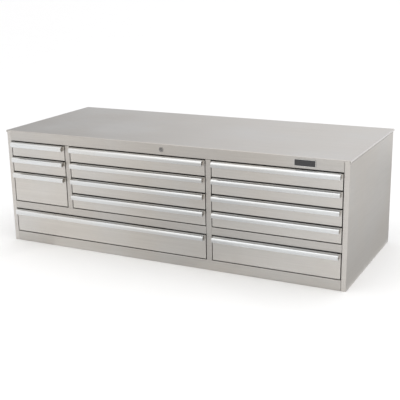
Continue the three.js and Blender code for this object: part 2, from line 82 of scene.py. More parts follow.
class Graph:
    """Short calls for building a node tree."""

    def __init__(self, tree):
        self.tree = tree
        tree.nodes.clear()

    def link(self, source, target):
        self.tree.links.new(source, target)

    def add(self, kind, **inputs):
        node = self.tree.nodes.new(kind)
        for name, value in inputs.items():
            self.put(node.inputs[name.replace("_", " ")], value)
        return node

    def put(self, socket, value):
        if isinstance(value, bpy.types.NodeSocket):
            self.link(value, socket)
        else:
            socket.default_value = value

    def math(self, operation, a, b=0.0):
        node = self.tree.nodes.new("ShaderNodeMath")
        node.operation = operation
        self.put(node.inputs[0], a)
        self.put(node.inputs[1], b)
        return node.outputs[0]

    def range(self, value, low, high, to_low, to_high, smooth=True):
        """The value, carried from low..high to to_low..to_high, and held at both ends."""
        node = self.add("ShaderNodeMapRange", Value=value)
        node.interpolation_type = "SMOOTHSTEP" if smooth else "LINEAR"
        for name, number in (("From Min", low), ("From Max", high), ("To Min", to_low), ("To Max", to_high)):
            node.inputs[name].default_value = number
        return node.outputs["Result"]

    def mix_value(self, a, b, amount):
        node = self.tree.nodes.new("ShaderNodeMix")
        node.data_type = "FLOAT"
        self.put(node.inputs[0], amount)
        self.put(node.inputs[2], a)
        self.put(node.inputs[3], b)
        return node.outputs[0]

    def mix_colour(self, a, b, amount):
        node = self.tree.nodes.new("ShaderNodeMix")
        node.data_type = "RGBA"
        self.put(node.inputs[0], amount)
        self.put(node.inputs[6], a)
        self.put(node.inputs[7], b)
        return node.outputs[2]

    def stretched(self, scale):
        """The piece's own coordinates, multiplied along each axis."""
        coords = self.add("ShaderNodeTexCoord").outputs["Object"]
        mapping = self.add("ShaderNodeMapping", Vector=coords)
        mapping.inputs["Scale"].default_value = scale
        return mapping.outputs["Vector"]

    def noise(self, coords, detail=3.0, roughness=0.6):
        node = self.add("ShaderNodeTexNoise", Vector=coords, Scale=1.0, Detail=detail, Roughness=roughness)
        return node.outputs["Fac"]

    def bump(self, height, strength, distance):
        node = self.add("ShaderNodeBump", Height=height, Strength=strength, Distance=distance)
        return node.outputs["Normal"]


# ------------------------------------------------------------ camera and studio

VIEW_AZIMUTH = math.radians(26.77)
VIEW_ELEVATION = math.radians(16.14)
VIEW_ROLL = math.radians(-1.06)
CAMERA_PLACE = Vector((1.8585, -3.6505, 1.408))
LENS_MM = 73.86

# How bright the room looks in each direction, and the floor and its cards in a reflection.
FAR_WALL_LEFT = 0.35
FAR_WALL_RIGHT = 0.98
NEAR_WALL = 1.05
CEILING = 1.2
FLOOR_GLOW = 0.98
WARM_WHITE = (1.0, 0.99, 0.975, 1)
COOL_WHITE = (0.985, 0.995, 1.02, 1)

CARD_RISE = 2 * MM  # above the floor
FLOOR_DROP = 0.5 * MM  # below the cabinet's feet
FLOOR_REACH = 30


def make_camera():
    """The camera of the view that the chest was measured in."""
    back = Vector((
        math.sin(VIEW_AZIMUTH) * math.cos(VIEW_ELEVATION),
        -math.cos(VIEW_AZIMUTH) * math.cos(VIEW_ELEVATION),
        math.sin(VIEW_ELEVATION),
    ))
    right = Vector((0, 0, 1)).cross(back).normalized()
    up = back.cross(right)
    level = Matrix((right, up, back)).transposed()
    data = bpy.data.cameras.new("camera")
    data.lens = LENS_MM
    data.clip_end = 60
    camera = bpy.data.objects.new("camera", data)
    turned = level @ Matrix.Rotation(VIEW_ROLL, 3, "Z")
    camera.matrix_world = Matrix.Translation(CAMERA_PLACE) @ turned.to_4x4()
    bpy.context.scene.collection.objects.link(camera)
    bpy.context.scene.camera = camera


def make_world():
    """A pale room, with a cooler and dimmer far wall that brightens to the right."""
    world = bpy.data.worlds.new("studio")
    world.use_nodes = True
    bpy.context.scene.world = world
    g = Graph(world.node_tree)
    direction = g.add("ShaderNodeTexCoord").outputs["Generated"]
    split = g.add("ShaderNodeSeparateXYZ", Vector=direction)
    far_wall = g.range(split.outputs["X"], -0.8, -0.2, FAR_WALL_LEFT, FAR_WALL_RIGHT)
    behind = g.range(split.outputs["Y"], -0.3, 0.6, 0.0, 1.0)
    wall = g.mix_value(NEAR_WALL, far_wall, behind)
    overhead = g.range(split.outputs["Z"], 0.35, 0.9, 0.0, 1.0)
    room = g.mix_value(wall, CEILING, overhead)
    seen = g.add("ShaderNodeLightPath").outputs["Is Camera Ray"]  # the backdrop itself stays plain white
    background = g.add("ShaderNodeBackground", Strength=g.mix_value(room, 1.0, seen))
    g.link(g.mix_colour(WARM_WHITE, COOL_WHITE, behind), background.inputs["Color"])
    out = g.add("ShaderNodeOutputWorld")
    g.link(background.outputs["Background"], out.inputs["Surface"])


def softbox(name, place, target, size, energy, colour=(1, 1, 1), glossy=True):
    """A rectangular lamp that the camera doesn't see. Without glossy, reflections don't see it either."""
    data = bpy.data.lights.new(name, "AREA")
    data.shape = "RECTANGLE"
    data.size, data.size_y = size
    data.energy = energy
    data.color = colour
    light = bpy.data.objects.new(name, data)
    aim = (Vector(target) - Vector(place)).to_track_quat("-Z", "Y")
    light.matrix_world = Matrix.Translation(place) @ aim.to_matrix().to_4x4()
    light.visible_camera = False
    light.visible_glossy = glossy
    bpy.context.scene.collection.objects.link(light)


def stage_face(name, corners, material):
    """One flat face of the studio, with the material on it."""
    mesh = bpy.data.meshes.new(name)
    mesh.from_pydata(corners, [], [(0, 1, 2, 3)])
    mesh.materials.append(material)
    face = bpy.data.objects.new(name, mesh)
    bpy.context.scene.collection.objects.link(face)
    return face


def grey_card(name, start, end, half_width, shade):
    """A card on the floor that only reflections see, as a studio lays beside bright metal to give it shape.

    It runs from start to end, which are (x, y). shade takes the graph and the card's own coordinates, across
    it and along it, and returns its brightness.
    """
    start, end = Vector(start), Vector(end)
    length = (end - start).length
    material, g = blank_material(name)
    place = g.add("ShaderNodeSeparateXYZ", Vector=g.add("ShaderNodeTexCoord").outputs["Object"])
    value = shade(g, place.outputs["X"], place.outputs["Y"])
    glow = g.add("ShaderNodeEmission", Strength=value)
    glow.inputs["Color"].default_value = WARM_WHITE
    g.link(glow.outputs["Emission"], g.add("ShaderNodeOutputMaterial").inputs["Surface"])
    corners = [(-half_width, 0, 0), (half_width, 0, 0), (half_width, length, 0), (-half_width, length, 0)]
    card = stage_face(name, corners, material)
    card.location = (start.x, start.y, CARD_RISE)
    card.rotation_euler.z = math.atan2(end.y - start.y, end.x - start.x) - math.pi / 2
    card.visible_camera = False
    card.visible_diffuse = False
    card.visible_shadow = False


def front_shade(g, across, along):
    """Dark down the middle and as bright as the floor at both sides."""
    return g.range(g.math("ABSOLUTE", across), 0.0, 0.72, 0.69, FLOOR_GLOW)


def side_shade(g, across, along):
    """Dark beside the cabinet, brighter further out, darker again far behind, and gone at its far end."""
    outward = g.range(across, -0.75, 0.1, 0.6, 1.0)
    backward = g.range(along, 1.5, 2.6, 1.0, 0.8)
    shade = g.math("MULTIPLY", outward, backward)
    fade = g.range(along, 2.7, 3.4, 0.0, 1.0)
    return g.math("MULTIPLY", g.mix_value(shade, 1.0, fade), FLOOR_GLOW)


def back_shade(g, across, along):
    """Dark beside the back panel, as bright as the floor further out, and gone at both ends."""
    outward = g.range(across, 0.6, -0.6, 0.5, 1.0)
    window = g.math("MULTIPLY", g.range(along, 0.0, 0.6, 0.0, 1.0), g.range(along, 2.35, 1.6, 0.0, 1.0))
    return g.math("MULTIPLY", g.mix_value(1.0, outward, window), FLOOR_GLOW)


def make_studio():
    """Camera, room, lamps, cards and a plain pale floor."""
    make_camera()
    make_world()
    softbox("overhead", (0.2, -0.9, 3.2), (0, -0.2, 0.3), (4.2, 2.2), 12, (1.0, 0.995, 0.985))
    softbox("right_fill", (4.2, -1.2, 2.2), (0.3, 0, 0.3), (2.0, 2.4), 6)
    softbox("floor_wash", (0, -0.6, 4.0), (0, -0.6, 0), (7.0, 6.0), 8, glossy=False)
    grey_card("front_card", (0.16, -0.4), (-1.25, -3.1), 0.75, front_shade)
    grey_card("side_card", (1.72, -0.45), (1.72, 3.0), 0.8, side_shade)
    grey_card("back_card", (-1.5, 1.05), (0.85, 1.05), 0.62, back_shade)
    corners = [(x * FLOOR_REACH, y * FLOOR_REACH, 0) for x, y in ((-1, -1), (1, -1), (1, 1), (-1, 1))]
    stage_face("floor", corners, floor_material()).location.z = -FLOOR_DROP
    bpy.context.scene.view_settings.view_transform = "Standard"


# ------------------------------------------------------------ materials


def grey(value):
    return (value, value, value, 1)


def blank_material(name):
    """(material, graph), with no nodes yet."""
    material = bpy.data.materials.new(name)
    material.use_nodes = True
    return material, Graph(material.node_tree)


def new_material(name):
    """(material, graph, principled shader), the shader already joined to the output."""
    material, g = blank_material(name)
    shader = g.add("ShaderNodeBsdfPrincipled")
    out = g.add("ShaderNodeOutputMaterial")
    g.link(shader.outputs["BSDF"], out.inputs["Surface"])
    return material, g, shader


def drawn_out(axes, fine, coarse):
    """Scales that draw a noise out into lines along one axis, or along each of two."""
    return tuple(coarse if name in axes else fine for name in "XYZ")


def worn_and_highlit_edges(g, radius, strength):
    """0 on a flat face, up to strength where two faces meet within the radius. It lightens edges partly as
    wear and partly as a painted highlight.
    """
    flat, turned = 0.995, 0.8  # how well the rounded normal and the plain one agree
    rounded = g.add("ShaderNodeBevel", Radius=radius)
    rounded.samples = 4
    plain = g.add("ShaderNodeNewGeometry").outputs["Normal"]
    dot = g.tree.nodes.new("ShaderNodeVectorMath")
    dot.operation = "DOT_PRODUCT"
    g.link(rounded.outputs["Normal"], dot.inputs[0])
    g.link(plain, dot.inputs[1])
    return g.range(dot.outputs["Value"], flat, turned, 0.0, strength)


BRUSH_RELIEF = 0.018 * MM
PAINTED_SEAM_SHADE = (7 * MM, 3 * MM)  # how far under a seam the painted shade starts, and where it is darkest


def brushed_metal(
    name, colour, roughness, grain, anisotropy=0.5, lines=0.045, edge_wear_and_highlight=0.35, front=1.0, seam=0.0
):
    """Metal brushed along an axis or two: fine lines, longer scratches, broad clouding and smudges.

    Faces that look to the front take the front tone, as the rails are a shade darker than the drawers they
    frame. Faces that look sideways darken just under the seam's height: a painted shadow of the worktop's
    lip.
    """
    material, g, shader = new_material(name)
    fine = g.noise(g.stretched(drawn_out(grain, 900.0, 7.0)), detail=2.0, roughness=0.7)
    bands = g.noise(g.stretched(drawn_out(grain, 130.0, 0.9)), detail=3.0, roughness=0.65)
    clouds = g.noise(g.stretched((2.3, 2.3, 2.3)), detail=3.0, roughness=0.55)
    smudges = g.range(g.noise(g.stretched((7.0, 7.0, 7.0)), detail=4.0), 0.52, 0.72, 0.0, 1.0)
    scratches = g.range(g.noise(g.stretched(drawn_out(grain, 260.0, 1.6)), detail=1.0), 0.66, 0.74, 0.0, 1.0)
    broad = g.range(bands, 0.3, 0.7, 1 - lines * 0.4, 1 + lines * 0.4)
    tone = g.math("ADD", broad, g.range(fine, 0.3, 0.7, -lines, lines))
    tone = g.math("MULTIPLY", tone, g.range(clouds, 0.3, 0.7, 0.98, 1.015))
    tone = g.math("ADD", tone, g.math("MULTIPLY", scratches, lines * 0.7))
    facing = g.add("ShaderNodeSeparateXYZ", Vector=g.add("ShaderNodeTexCoord").outputs["Normal"])
    tone = g.math("MULTIPLY", tone, g.range(facing.outputs["Y"], -0.9, -0.6, front, 1.0))
    if seam:
        spot = g.add("ShaderNodeSeparateXYZ", Vector=g.add("ShaderNodeTexCoord").outputs["Object"])
        # painted shadow of the worktop's lip, on faces that look sideways
        painted_shade = g.range(spot.outputs["Z"], seam - PAINTED_SEAM_SHADE[0], seam - PAINTED_SEAM_SHADE[1], 0.0, 0.3)
        sideways = g.range(g.math("ABSOLUTE", facing.outputs["X"]), 0.6, 0.9, 0.0, 1.0)
        tone = g.math("MULTIPLY", tone, g.math("SUBTRACT", 1.0, g.math("MULTIPLY", painted_shade, sideways)))
    warm = (colour[0], colour[1] * 0.993, colour[2] * 0.978, 1)
    cool = (colour[0] * 0.985, colour[1], colour[2] * 1.012, 1)
    base = g.mix_colour(warm, cool, g.range(clouds, 0.35, 0.65, 0, 1))
    toned = g.tree.nodes.new("ShaderNodeVectorMath")
    toned.operation = "SCALE"
    g.link(base, toned.inputs[0])
    g.link(tone, toned.inputs["Scale"])
    # edges lighter and glossier: partly wear, partly a painted highlight
    edge = worn_and_highlit_edges(g, 0.9 * MM, edge_wear_and_highlight)
    bright = tuple(min(1.0, c * 1.35) for c in colour) + (1,)
    g.link(g.mix_colour(toned.outputs["Vector"], bright, edge), shader.inputs["Base Color"])
    rough = g.range(fine, 0.25, 0.75, roughness - 0.05, roughness + 0.05, smooth=False)
    rough = g.math("ADD", rough, g.range(clouds, 0.3, 0.7, -0.02, 0.03))
    rough = g.math("ADD", rough, g.math("MULTIPLY", smudges, 0.035))
    g.link(g.math("SUBTRACT", rough, g.math("MULTIPLY", edge, 0.12)), shader.inputs["Roughness"])
    height = g.math("ADD", g.math("MULTIPLY", fine, 0.5), g.math("MULTIPLY", scratches, -0.5))
    g.link(g.bump(height, 0.25, BRUSH_RELIEF), shader.inputs["Normal"])
    shader.inputs["Metallic"].default_value = 1.0
    shader.inputs["Anisotropic"].default_value = anisotropy
    shader.inputs["Anisotropic Rotation"].default_value = 0.25
    direction = g.add("ShaderNodeCombineXYZ")
    for axis in grain:
        direction.inputs[axis].default_value = 1.0
    g.link(direction.outputs["Vector"], shader.inputs["Tangent"])
    return material


def zinc_plate(name, colour, roughness):
    """Electroplated slide steel: a faint rolled grain and a cloudy bloom."""
    material, g, shader = new_material(name)
    grain = g.noise(g.stretched(drawn_out("Y", 420.0, 12.0)), detail=3.0)
    bloom = g.noise(g.stretched((70.0, 70.0, 70.0)), detail=5.0, roughness=0.6)
    tone = g.math("ADD", g.range(bloom, 0.3, 0.7, 0.0, 0.6), g.range(grain, 0.3, 0.7, 0.0, 0.4))
    dark = tuple(c * 0.93 for c in colour) + (1,)
    light = tuple(min(1.0, c * 1.05) for c in colour) + (1,)
    base = g.mix_colour(dark, light, tone)
    # edges lightened: partly wear, partly a painted highlight
    edge = worn_and_highlit_edges(g, 0.7 * MM, 0.3)
    g.link(g.mix_colour(base, grey(0.82), edge), shader.inputs["Base Color"])
    streaks = g.range(grain, 0.3, 0.7, roughness - 0.05, roughness + 0.05)
    g.link(g.math("ADD", streaks, g.range(bloom, 0.3, 0.7, 0.0, 0.04)), shader.inputs["Roughness"])
    g.link(g.bump(grain, 0.2, 0.02 * MM), shader.inputs["Normal"])
    shader.inputs["Metallic"].default_value = 1.0
    return material


def polished_plate(name, colour, roughness):
    """Plated and polished metal, with faint swirls from polishing, and edges lightened partly by wear and
    partly as a painted highlight.
    """
    material, g, shader = new_material(name)
    swirls = g.noise(g.stretched((700.0, 60.0, 700.0)), detail=2.0)
    haze = g.noise(g.stretched((70.0, 70.0, 70.0)), detail=4.0)
    streaks = g.range(swirls, 0.3, 0.7, roughness - 0.04, roughness + 0.04)
    g.link(g.math("ADD", streaks, g.range(haze, 0.4, 0.7, 0, 0.05)), shader.inputs["Roughness"])
    g.link(g.bump(swirls, 0.1, 0.01 * MM), shader.inputs["Normal"])
    # edges lightened: partly wear, partly a painted highlight
    edge = worn_and_highlit_edges(g, 0.6 * MM, 0.45)
    g.link(g.mix_colour(colour + (1,), grey(0.75), edge), shader.inputs["Base Color"])
    shader.inputs["Metallic"].default_value = 1.0
    return material


def gloss_black(name):
    """Lacquer with a slight orange peel and a little dust."""
    material, g, shader = new_material(name)
    peel = g.noise(g.stretched((260.0, 260.0, 260.0)), detail=2.0)
    dust = g.range(g.noise(g.stretched((90.0, 90.0, 90.0)), detail=5.0), 0.5, 0.75, 0.0, 0.12)
    g.link(g.mix_colour((0.011, 0.011, 0.013, 1), grey(0.09), dust), shader.inputs["Base Color"])
    g.link(g.range(peel, 0.3, 0.7, 0.16, 0.28), shader.inputs["Roughness"])
    g.link(g.bump(peel, 0.08, 0.03 * MM), shader.inputs["Normal"])
    shader.inputs["Coat Weight"].default_value = 0.5
    shader.inputs["Coat Roughness"].default_value = 0.08
    return material


def moulded_plastic(name, dark, light):
    """Fine-grained plastic, a little polished where it is handled."""
    material, g, shader = new_material(name)
    grain = g.noise(g.stretched((650.0, 650.0, 650.0)), detail=2.0)
    handling = g.noise(g.stretched((40.0, 40.0, 40.0)), detail=3.0)
    base = g.mix_colour(grey(dark), grey(light), g.range(handling, 0.4, 0.7, 0, 1))
    g.link(base, shader.inputs["Base Color"])
    g.link(g.range(handling, 0.3, 0.7, 0.38, 0.52), shader.inputs["Roughness"])
    g.link(g.bump(grain, 0.25, 0.04 * MM), shader.inputs["Normal"])
    return material


def ribbed_rubber(name):
    """Dull gritty rubber, dusty in patches. Its ribs are in the mesh."""
    material, g, shader = new_material(name)
    grit = g.noise(g.stretched((900.0, 900.0, 900.0)), detail=3.0)
    dust = g.noise(g.stretched((30.0, 30.0, 30.0)), detail=6.0, roughness=0.7)
    base = g.mix_colour((0.02, 0.02, 0.021, 1), grey(0.034), g.range(dust, 0.4, 0.7, 0, 1))
    g.link(base, shader.inputs["Base Color"])
    g.link(g.range(grit, 0.3, 0.7, 0.6, 0.85), shader.inputs["Roughness"])
    g.link(g.bump(grit, 0.35, 0.1 * MM), shader.inputs["Normal"])
    return material


def floor_material():
    """Nearly white and matt, with the faintest clouding."""
    material, g, shader = new_material("pale_floor")
    clouds = g.noise(g.stretched((1.5, 1.5, 1.5)), detail=2.0)
    g.link(g.mix_colour(grey(0.93), grey(0.95), clouds), shader.inputs["Base Color"])
    shader.inputs["Roughness"].default_value = 0.7
    shader.inputs["Specular IOR Level"].default_value = 0.2
    return material


STEEL = (0.57, 0.545, 0.517)
ALUMINIUM = (0.69, 0.695, 0.7)
WORKTOP_LIP = 12.0 * MM  # height of the worktop's folded edge at the sides and the back
LIP_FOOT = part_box("top_panel")[1].z - WORKTOP_LIP
make_studio()
MATERIALS = {
    "flat": brushed_metal("brushed_steel_along_x", STEEL, 0.36, "X", front=0.9),
    "side": brushed_metal("brushed_steel_wrapped", STEEL, 0.36, "XY", seam=LIP_FOOT),
    # the bead's steel is lighter than the sheet, partly a painted highlight along the worktop's edge
    "bead": brushed_metal("rolled_edge_steel", (0.66, 0.635, 0.61), 0.22, "XY", lines=0.03),
    "front": brushed_metal("brushed_drawer_front", (0.58, 0.555, 0.526), 0.34, "XY"),
    "pull": brushed_metal("satin_aluminium", ALUMINIUM, 0.21, "X", anisotropy=0.3, lines=0.02, edge_wear_and_highlight=0.4),
    "zinc": zinc_plate("zinc_plate", (0.60, 0.61, 0.62), 0.33),
    "rivet": zinc_plate("zinc_plated_rivet", (0.36, 0.365, 0.37), 0.3),
    "lock": polished_plate("dark_nickel_plate", (0.27, 0.262, 0.255), 0.17),
    "rim": polished_plate("bright_nickel_plate", (0.66, 0.65, 0.63), 0.14),
    "steel_ball": polished_plate("polished_steel_ball", (0.6, 0.6, 0.6), 0.1),
    "badge": gloss_black("gloss_black_plate"),
    "plastic": moulded_plastic("black_plastic", 0.016, 0.032),
    "liner": ribbed_rubber("ribbed_rubber"),
}

# ------------------------------------------------------------ mesh helpers

CREASE = math.radians(32)  # two faces that meet at more than this keep a crease between them
CAD_CORNER, PIECE_CORNER = 50, 40  # degrees between two faces, from which their edge is rounded


def set_material(obj, key):
    obj.data.materials.clear()
    obj.data.materials.append(MATERIALS[key])


def smooth(obj):
    """Smooth shading, but for the creases."""
    mesh = obj.data
    mesh.polygons.foreach_set("use_smooth", [True] * len(mesh.polygons))
    mesh.set_sharp_from_angle(angle=CREASE)
    mesh.update()


def soften(obj, width=0.35, segments=2, angle=CAD_CORNER):
    """Small round edges that catch the light, with the flat faces kept flat."""
    weld = obj.modifiers.new("weld", "WELD")
    weld.merge_threshold = 0.01 * MM
    bevel = obj.modifiers.new("edges", "BEVEL")
    bevel.width = width * MM
    bevel.segments = segments
    bevel.limit_method = "ANGLE"
    bevel.angle_limit = math.radians(angle)
    bevel.use_clamp_overlap = True
    normals = obj.modifiers.new("flat_faces", "WEIGHTED_NORMAL")
    normals.weight = 100
    normals.keep_sharp = True


def finish_piece(obj, body, key, edge=None):
    """Links a new piece and gives it its finish and its body. edge rounds its edges, in millimetres."""
    bpy.context.scene.collection.objects.link(obj)
    set_material(obj, key)
    smooth(obj)
    if edge:
        soften(obj, edge, angle=PIECE_CORNER)
    if body:
        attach(obj, body)
    return obj


def mesh_object(name, bm):
    bmesh.ops.recalc_face_normals(bm, faces=bm.faces)
    mesh = bpy.data.meshes.new(name)
    bm.to_mesh(mesh)
    bm.free()
    return bpy.data.objects.new(name, mesh)


def sweep(bm, outline, start, end, place):
    """Adds a prism: the closed outline of (u, v) pairs, from start to end. place makes (u, v, t) a point."""
    rings = [[bm.verts.new(place(u, v, t)) for u, v in outline] for t in (start, end)]
    count = len(outline)
    for i in range(count):
        j = (i + 1) % count
        bm.faces.new((rings[0][i], rings[0][j], rings[1][j], rings[1][i]))
    bm.faces.new(rings[0])
    bm.faces.new(rings[1])


def bent_sheet(path, thickness):
    """The closed outline of a folded sheet. The path is its outer face, with the thickness on its left."""
    corners = [Vector(point) for point in path]
    headings = [(b - a).normalized() for a, b in zip(corners, corners[1:])]
    lefts = [Vector((-h.y, h.x)) for h in headings]
    before = [lefts[0]] + lefts
    after = lefts + [lefts[-1]]
    inner = [c + (m + n) * thickness / (1 + m.dot(n)) for c, m, n in zip(corners, before, after)]
    return [tuple(c) for c in corners] + [tuple(c) for c in reversed(inner)]


def along_x(u, v, t):
    return (t, u, v)


def along_y(u, v, t):
    return (u, t, v)


HEAD_SIDES = 16
RIVET_SIDES = 20
BALL_SIDES = 8
LOCK_SIDES = 64


def lathe(bm, profile, place, count):
    """Adds a turned solid from a closed loop of (radius, depth). place makes (a, b, depth) a point."""
    angles = [2 * math.pi * k / count for k in range(count)]
    circle = [(math.cos(a), math.sin(a)) for a in angles]
    rings = []
    for radius, depth in profile:
        if radius < 1e-9:
            rings.append([bm.verts.new(place(0, 0, depth))])
        else:
            rings.append([bm.verts.new(place(radius * a, radius * b, depth)) for a, b in circle])
    for i, ring in enumerate(rings):
        following = rings[(i + 1) % len(rings)]
        for k in range(count):
            n = (k + 1) % count
            if len(ring) == 1 and len(following) == 1:
                break
            if len(ring) == 1:
                bm.faces.new((ring[0], following[n], following[k]))
            elif len(following) == 1:
                bm.faces.new((ring[k], ring[n], following[0]))
            else:
                bm.faces.new((ring[k], ring[n], following[n], following[k]))


def dome(bm, place, radius, height):
    """Adds a low domed head, such as a screw's. place is as in lathe, with depth 0 on the sheet."""
    profile = [
        (0, -height * 0.2),
        (radius, -height * 0.2),
        (radius, 0),
        (radius, height * 0.35),
        (radius * 0.8, height * 0.75),
        (radius * 0.42, height * 0.97),
        (0, height),
    ]
    lathe(bm, profile, place, HEAD_SIDES)


def rivet(bm, place, radius, height):
    """Adds a blind rivet's head: a low dome with the dimple that its pulled stem leaves."""
    profile = [
        (0, -height * 0.2),
        (radius, -height * 0.2),
        (radius, 0),
        (radius, height * 0.3),
        (radius * 0.84, height * 0.72),
        (radius * 0.5, height * 0.97),
        (radius * 0.36, height),
        (radius * 0.26, height * 0.62),
        (0, height * 0.56),
    ]
    lathe(bm, profile, place, RIVET_SIDES)


def ball(bm, centre, radius):
    """Adds a small ball with few faces."""
    x, y, z = centre
    steps = 6
    between = [math.pi * k / steps for k in range(1, steps)]
    belt = [(radius * math.sin(a), -radius * math.cos(a)) for a in between]
    profile = [(0, -radius)] + belt + [(0, radius)]
    lathe(bm, profile, lambda a, b, depth: (x + a, y + depth, z + b), BALL_SIDES)


# ------------------------------------------------------------ CAD sheet metal


def dress_cad():
    """Gives every CAD node its finish, and soft edges where they show."""
    for name, node in NODES.items():
        smooth(node)
        if name.endswith("side_panel"):
            set_material(node, "side")
            soften(node)
        elif name.endswith("_box"):
            set_material(node, "front")
            soften(node, 0.3)
        elif name.startswith(("rack_", "lock_", "tie_bar")):
            set_material(node, "lock" if name == "lock_plug" else "zinc")
            soften(node, 0.25, 1)
        elif name == "nameplate":
            set_material(node, "badge")
        elif name.startswith("base_channel"):
            set_material(node, "flat")
        else:
            set_material(node, "flat")
            soften(node)


# ------------------------------------------------------------ drawer pulls

PULL_WALL = 2.0 * MM
PULL_LIP = 13.0 * MM  # height of the lip under the nose
PULL_LEAN = 4.0 * MM  # how far the lip leans in towards the drawer front
PULL_SEAT = 13.0 * MM  # how far the flange reaches over the drawer front
PULL_FLANGE = PULL_SEAT + PULL_WALL
NOSE_STEPS = 20
BEAD_STEPS = 12
CAP_THICK = 1.6 * MM
CAP_SUNK = 0.3 * MM  # from the pull's end


def pull_outline(back, front, low, high):
    """A flange, an elliptical nose, a crisp shoulder, and a lip that leans in and ends in a round bead."""
    nose_back = back - PULL_FLANGE
    shoulder = low + PULL_LIP
    wide = nose_back - front
    tall = high - shoulder
    points = [(back, high)]
    for k in range(NOSE_STEPS + 1):
        angle = math.pi / 2 * (1 + k / NOSE_STEPS)
        points.append((nose_back + wide * math.cos(angle), shoulder + tall * math.sin(angle)))
    bead = PULL_WALL * 0.62
    centre = (front + PULL_LEAN + bead * 0.8, low + bead)
    for k in range(BEAD_STEPS + 1):
        angle = math.pi * (0.95 + 1.2 * k / BEAD_STEPS)
        points.append((centre[0] + bead * math.cos(angle), centre[1] + bead * math.sin(angle)))
    inner_wide = wide - PULL_WALL
    inner_tall = tall - PULL_WALL
    for k in range(NOSE_STEPS + 1):
        angle = math.pi / 2 * (2 - k / NOSE_STEPS)
        points.append((nose_back + inner_wide * math.cos(angle), shoulder + inner_tall * math.sin(angle)))
    points.append((back, high - PULL_WALL))
    return points


def cap_outline(face, front, low, high):
    """The end of a pull filled in, from inside its nose and lip back to the drawer front."""
    back = face - 0.3 * MM
    nose_back = face - PULL_WALL
    wide = nose_back - front - PULL_WALL
    shoulder = low + PULL_LIP
    tall = high - shoulder - PULL_WALL
    points = [(back, high - PULL_WALL)]
    for k in range(BEAD_STEPS + 1):
        angle = math.pi / 2 * (1 + k / BEAD_STEPS)
        points.append((nose_back + wide * math.cos(angle), shoulder + tall * math.sin(angle)))
    lip = front + PULL_LEAN + PULL_WALL
    foot = [(lip, low + 1.5 * MM), (lip + 2 * MM, low + 0.6 * MM), (back, low + 5 * MM)]
    return points + foot


def make_pull(drawer):
    """The extrusion, and a cap that closes each of its ends."""
    node = f"{drawer}_pull"
    low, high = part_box(node)
    bm = bmesh.new()
    sweep(bm, pull_outline(high.y, low.y, low.z, high.z), low.x, high.x, along_x)
    piece = mesh_object(f"{drawer}_handle", bm)
    finish_piece(piece, drawer, "pull", 0.35)
    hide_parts(node)
    bm = bmesh.new()
    outline = cap_outline(high.y - PULL_SEAT, low.y, low.z, high.z)
    sweep(bm, outline, low.x + CAP_SUNK, low.x + CAP_SUNK + CAP_THICK, along_x)
    sweep(bm, outline, high.x - CAP_SUNK - CAP_THICK, high.x - CAP_SUNK, along_x)
    caps = mesh_object(f"{drawer}_pull_caps", bm)
    finish_piece(caps, drawer, "front", 0.25)


# ------------------------------------------------------------ inside a drawer

SIDE_GAP = 3.2 * MM  # from a drawer front to the opening's edge
WALL_INSET = 10.0 * MM  # from the front's end to the box's side wall
WALL_DOWN = 9.7 * MM  # from the front's top to the top of the side walls
FRONT_DEEP = 18.0 * MM
CATCH_REACH = 25.0 * MM  # the lock's catch stands this far behind the box
FLOOR_RISE = 5.0 * MM  # from the front's lower edge to the upper face of the box's floor
SLIDE_RISE = 32.5 * MM  # from the front's lower edge to the slides' middle
WALL = 1.0 * MM
# A rib's outline: the share of the pitch, and whether the point is raised.
RIB_SHAPE = ((0.0, False), (0.28, False), (0.42, True), (0.72, True), (0.86, False))


def box_room(drawer):
    """Where a drawer's box is: walls in X, front and back in Y, floor and top in Z, and what is round it."""
    low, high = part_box(f"{drawer}_box")
    return {
        "x": (low.x + WALL_INSET, high.x - WALL_INSET),
        "y": (low.y + FRONT_DEEP, high.y - CATCH_REACH),
        "z": (low.z + FLOOR_RISE, high.z - WALL_DOWN),
        "edges": (low.x - SIDE_GAP, high.x + SIDE_GAP),
        "slide": low.z + SLIDE_RISE,
        "front": low.y,
    }


def make_liner(drawer):
    """A rubber mat with ribs that run across the drawer."""
    room = box_room(drawer)
    base, rib, pitch, clear = 0.7 * MM, 1.4 * MM, 6.0 * MM, 3.0 * MM
    start, end = room["y"][0] + clear, room["y"][1] - clear
    count = int((end - start) / pitch)
    pitch = (end - start) / count
    floor = room["z"][0] + 0.05 * MM
    outline = [(end, floor), (start, floor)]
    for k in range(count):
        for share, raised in RIB_SHAPE:
            outline.append((start + (k + share) * pitch, floor + (rib if raised else base)))
    outline.append((end, floor + base))
    bm = bmesh.new()
    sweep(bm, outline, room["x"][0] + clear, room["x"][1] - clear, along_x)
    finish_piece(mesh_object(f"{drawer}_liner", bm), drawer, "liner")


def make_hems(drawer):
    """Folded caps on the top edges of the side and back walls."""
    room = box_room(drawer)
    top = room["z"][1]
    over, under, drop, sheet = 1.0 * MM, 0.9 * MM, 6.0 * MM, 0.8 * MM
    bm = bmesh.new()

    def cap(at, inward, start, end, place):
        outside, inside = at - inward * over, at + inward * (WALL + over)
        path = [(outside, top - drop), (outside, top + under), (inside, top + under), (inside, top - drop)]
        outline = bent_sheet(path if inward < 0 else path[::-1], sheet)
        sweep(bm, outline, start, end, place)

    left, right = room["x"]
    front, back = room["y"]
    cap(left, 1, front, back + over, along_y)
    cap(right, -1, front, back + over, along_y)
    clear = WALL + 1.2 * MM
    cap(back, -1, left + clear, right - clear, along_x)
    finish_piece(mesh_object(f"{drawer}_hems", bm), drawer, "front", 0.3)


